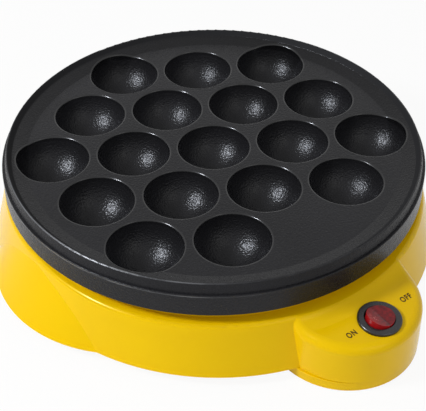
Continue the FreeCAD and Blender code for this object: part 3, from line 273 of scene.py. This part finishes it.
def coatedPlate():
    look, finish = plateLook, Finish("coated_plate")
    cloud = finish.noise(look["cloudScale"], detail=3).band(*crisp)
    grain = finish.noise(look["grainScale"], detail=1)
    flakes = finish.cells(look["flakeScale"])
    edge, rim, slope, face = plateMasks(finish, look)
    edge = edge * finish.noise(look["wearScale"]).band(*look["wearPatches"])
    smooth = edge.most(rim)
    shade = cloud * look["cloudShare"] + grain * (1 - look["cloudShare"])
    # painted shade on the slope, the lip's inner face and the wells' rims
    soot = slope * look["slopeSoot"] + face * look["faceSoot"] + rim * look["rimSoot"]
    coat = finish.mix(soot, finish.mix(shade, look["dark"], look["light"]), look["soot"])
    roughness = grain.band(*soft, *look["roughness"]) * (1 - face) + face * look["faceRoughness"]
    height = (grain * look["grainBump"] + flakes * look["flakeBump"]) * (1 - smooth) * (1 - face)
    # the edges go paler: rubbed coating, and a painted highlight strongest on the side the key lamp faces
    return finish.set(Base_Color=finish.mix(edge * look["wear"], coat, look["worn"]),
                      Roughness=roughness * (1 - smooth) + smooth * look["smoothRoughness"],
                      Normal=finish.bump(height, 1.0, look["grainDepth"]),
                      Specular_IOR_Level=look["specular"],
                      Coat_Weight=rim * look["rimGloss"] + edge * look["edgeGloss"],
                      Coat_Roughness=look["glossRoughness"])


shellLook = {
    "color": linear(240, 197, 2),
    "deep": linear(234, 190, 2),
    "cloudScale": 14,
    "rippleScale": 160,      # the moulding's faint waves
    "rippleBump": 0.08,
    "rippleDepth": 0.0004,
    "roughness": (0.17, 0.23),
    "specular": 0.18,
    "sheen": (1.0, 0.86, 0.42, 1.0),     # tint of the gloss
}


def yellowShell():
    look, finish = shellLook, Finish("yellow_shell")
    cloud = finish.noise(look["cloudScale"]).band(*soft)
    ripple = finish.noise(look["rippleScale"], detail=1)
    return finish.set(Base_Color=finish.mix(cloud, look["color"], look["deep"]),
                      Roughness=ripple.band(*soft, *look["roughness"]),
                      Normal=finish.bump(ripple, look["rippleBump"], look["rippleDepth"]),
                      Specular_IOR_Level=look["specular"], Specular_Tint=look["sheen"])


lensLook = {
    "deep": linear(88, 14, 20),
    "red": linear(128, 20, 26),
    "wall": linear(196, 26, 28),         # painted light, where the lamp shines through
    "radius": 0.0076,
    "wallFrom": 0.96,        # share of the radius where the lit side starts
    "wallSide": (-0.001, 0.004),         # across: lit up to the first, dark from the second on
    "wing": (-0.0062, -0.0008),          # the raised wing, painted lighter, the same way
    "wingShare": 0.5,
    # painted shade along the valley between the wings
    "groove": linear(44, 8, 12),
    "valleyWidth": (0.0001, 0.0004),
    "valleyEnd": (-0.001, 0.002),
    "valleyShare": 0.7,
    "spark": linear(236, 150, 140),
    "sparkAt": (-0.0030, 0.0008, 0.003),     # middle of the patch of painted glints, from the pivot
    "sparkReach": (0.0016, 0.0036),
    "sparkShare": 0.7,
    "prismScale": 1100,      # painted glints off the prism pattern moulded under the lens, to the metre
    "prismFade": (0.25, 0.42),
    "patchScale": 300,
    "patchSpan": (0.40, 0.5),
    "speckScale": 500,
    "speckBump": 0.15,
    "speckDepth": 0.00005,
    "roughness": 0.22,
    "specular": 0.25,
}


def redLens():               # painted light at its side and on the raised wing, painted shade along the valley, and a patch of painted glints
    look, finish = lensLook, Finish("red_lens")
    at = finish.vector("SUBTRACT", finish.place(), rocker["pos_m"])
    across = finish.dot(at, (1, 0, 0))
    along = finish.dot(at, (0, 1, 0))
    reach = finish.distance(finish.vector("MULTIPLY", at, (1, 1, 0)), (0, 0, 0))
    speck = finish.noise(look["speckScale"])
    wall = reach.band(look["radius"] * look["wallFrom"], look["radius"]) * across.fade(*look["wallSide"])
    valley = abs(across).fade(*look["valleyWidth"]) * along.fade(*look["valleyEnd"])
    window = finish.distance(at, look["sparkAt"]).fade(*look["sparkReach"])
    prismGlints = finish.cells(look["prismScale"]).fade(*look["prismFade"]) * window
    prismGlints = prismGlints * finish.noise(look["patchScale"], detail=1).band(*look["patchSpan"])
    color = finish.mix(speck.band(*crisp), look["deep"], look["red"])
    # painted light on the raised wing and the lit side
    color = finish.mix(across.fade(*look["wing"]) * look["wingShare"], color, look["wall"])
    color = finish.mix(wall, color, look["wall"])
    # painted shade along the valley
    color = finish.mix(valley * look["valleyShare"], color, look["groove"])
    # painted glints
    color = finish.mix(prismGlints * look["sparkShare"], color, look["spark"])
    return finish.set(Base_Color=color, Roughness=look["roughness"], Specular_IOR_Level=look["specular"],
                      Normal=finish.bump(speck, look["speckBump"], look["speckDepth"]))


plastic = {
    "metallic": 0.0,
    "speckScale": 900,
    "detail": 2,
    "span": crisp,
    "shade": 0.8,            # the darker specks keep this share of the colour
    "smoother": 0.04,        # how far the roughness strays, down and up
    "rougher": 0.06,
    "bump": 0.4,
}
metal = {
    "metallic": 1.0,
    "speckScale": 700,
    "detail": 3,
    "span": soft,
    "shade": 0.75,
    "smoother": 0.05,
    "rougher": 0.1,
    "bump": 0.3,
}
speckDepth = 0.00002
plainFinishes = {            # kind, screen colour, roughness
    "switch_black": (plastic, (26, 26, 28), 0.24),
    "foot_rubber": (plastic, (30, 30, 30), 0.8),
    "heater_steel": (metal, (120, 112, 104), 0.4),
    "nickel": (metal, (200, 196, 186), 0.3),
    "ceramic": (plastic, (228, 224, 212), 0.6),
    "spring_steel": (metal, (170, 170, 172), 0.35),
    "screw_steel": (metal, (190, 190, 186), 0.28),
    "fuse_case": (metal, (196, 196, 200), 0.3),
    "phenolic": (plastic, (34, 28, 26), 0.5),
    "pan_steel": (metal, (200, 202, 205), 0.3),
    "spacer_steel": (metal, (176, 176, 178), 0.35),
    "brass_tab": (metal, (206, 170, 90), 0.3),
    "black_gland": (plastic, (28, 28, 28), 0.5),
    "block_plastic": (plastic, (226, 226, 218), 0.45),
    "lamp_glass": (plastic, (235, 150, 100), 0.08),
}


def speckled(name, kind, screenColor, roughness):        # plain plastic or metal with fine specks
    finish, color = Finish(name), linear(*screenColor)
    speck = finish.noise(kind["speckScale"], kind["detail"])
    shade = tuple(c * kind["shade"] for c in color[:3]) + (1.0,)
    return finish.set(Base_Color=finish.mix(speck.band(*kind["span"]), shade, color),
                      Metallic=kind["metallic"],
                      Roughness=speck.band(*soft, roughness - kind["smoother"], roughness + kind["rougher"]),
                      Normal=finish.bump(speck, kind["bump"], speckDepth))


def dressNodes():
    finishes = {"coated_plate": coatedPlate(), "yellow_shell": yellowShell(), "red_lens": redLens()}
    for name, look in plainFinishes.items():
        finishes[name] = speckled(name, *look)
    slots = {entry["node"]: entry["material_slot"] for entry in frame["record"]["subparts"]}
    for name, node in cadNodes.items():
        node.data.materials.clear()
        node.data.materials.append(finishes[slots[name]])


dressNodes()
print("finishes on")

# printed on the console, on both sides of the switch
words = {
    "letterHeight": 0.0033,
    "capShare": 0.69,        # of the font's size that a capital letter takes
    "narrow": 0.74,
    "stroke": 0.0001,
    "letterSpacing": 1.2,
    "onAt": (-0.0179, 0.0010),       # from the middle of the switch, across and back
    "offAt": (0.0214, 0.0029),
    "inkThickness": 0.00008,
    "inkThin": linear(64, 22, 4),
    "inkFull": linear(38, 12, 2),
    "inkScale": 2500,
    "roughness": (0.4, 0.55),
    "specular": 0.2,
}


def inkFinish():
    finish = Finish("ink")
    speck = finish.noise(words["inkScale"])
    return finish.set(Base_Color=finish.mix(speck.band(*sharp), words["inkThin"], words["inkFull"]),
                      Roughness=speck.band(*soft, *words["roughness"]),
                      Specular_IOR_Level=words["specular"])


def printWord(name, text, at, material):
    lean = math.atan2(rocker["axis"][2], rocker["axis"][1])      # the console's top slopes by this much
    curve = bpy.data.curves.new(name, "FONT")
    curve.body = text
    curve.size = words["letterHeight"] / words["capShare"]
    curve.space_character = words["letterSpacing"]
    curve.align_x, curve.align_y = "CENTER", "CENTER"
    curve.extrude = words["inkThickness"] / 2
    curve.offset = words["stroke"]
    holder = addObject(name + "Curve", curve)
    bpy.context.view_layer.update()
    mesh = bpy.data.meshes.new_from_object(holder)
    bpy.data.objects.remove(holder)
    narrow = Matrix.Diagonal((words["narrow"], 1, 1, 1))
    shift = Matrix.Translation((*at, words["inkThickness"] / 2)) @ narrow
    mesh.transform(Matrix.Translation(rocker["pos_m"]) @ Matrix.Rotation(lean, 4, "X") @ shift)
    mesh.materials.clear()
    mesh.materials.append(material)
    word = addObject(name, mesh)
    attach(word, "base")


ink = inkFinish()
printWord("word_on", "ON", words["onAt"], ink)
printWord("word_off", "OFF", words["offAt"], ink)
print("words printed")

studio = {
    "white": (1, 1, 1, 1),
    "world": 0.45,
    "floorHalf": 6.0,
    "floorColor": (0.86, 0.86, 0.86, 1.0),
    "floorRoughness": 0.9,
    "floorWhite": 0.92,      # share of plain white where the floor is seen; the shadow shows in the rest
}
lamps = {                    # glint is seen in reflections only
    "key": {"from": (-0.741, 0.186, 0.645), "distance": 0.9, "size": 0.18, "power": 4.8,
            "color": (1, 1, 1), "lights": True},
    "glint": {"from": (-0.741, 0.186, 0.645), "distance": 0.9, "size": 0.12, "power": 13.0,
              "color": (0.82, 0.88, 1.0), "lights": False},
    "fill": {"from": (0.05, -0.80, 0.60), "distance": 1.2, "size": 0.6, "power": 1.45,
             "color": (1, 1, 1), "lights": True},
}


def paleFloor():
    finish = Finish("floor")
    finish.set(Base_Color=studio["floorColor"], Roughness=studio["floorRoughness"])
    plain = finish.add("ShaderNodeEmission", None, {"Color": studio["white"], "Strength": 1.0})
    lit = Wire(finish, finish.shader.outputs[0])
    finish.blend(finish.seen() * studio["floorWhite"], lit, plain, "Material Output")
    return finish.material


def makeFloor():
    mesh = bpy.data.meshes.new("floor")
    shape = bmesh.new()
    bmesh.ops.create_grid(shape, x_segments=1, y_segments=1, size=studio["floorHalf"])
    shape.to_mesh(mesh)
    shape.free()
    mesh.materials.append(paleFloor())
    floor = addObject("floor", mesh)


def makeWorld():             # white where it is seen, and dimmer as light
    world = bpy.data.worlds.new("studio")
    world.use_nodes = True
    bpy.context.scene.world = world
    nodes = Nodes(world.node_tree)
    light, plain = (nodes.add("ShaderNodeBackground", None, {"Color": studio["white"], "Strength": power})
                    for power in (studio["world"], 1.0))
    nodes.blend(nodes.seen(), light, plain, "World Output")


def makeLamps():
    aim = plateCentre()
    for name, look in lamps.items():
        data = bpy.data.lights.new(name, "AREA")
        data.shape = "DISK"
        data.size = look["size"]
        data.energy = look["power"]
        data.color = look["color"]
        lamp = addObject(name, data)
        lamp.visible_diffuse = look["lights"]
        lamp.location = aim + Vector(look["from"]).normalized() * look["distance"]
        lamp.rotation_euler = (aim - lamp.location).to_track_quat("-Z", "Y").to_euler()


makeFloor()
makeWorld()
makeLamps()
bpy.context.scene.view_settings.view_transform = "Standard"
print("studio set")
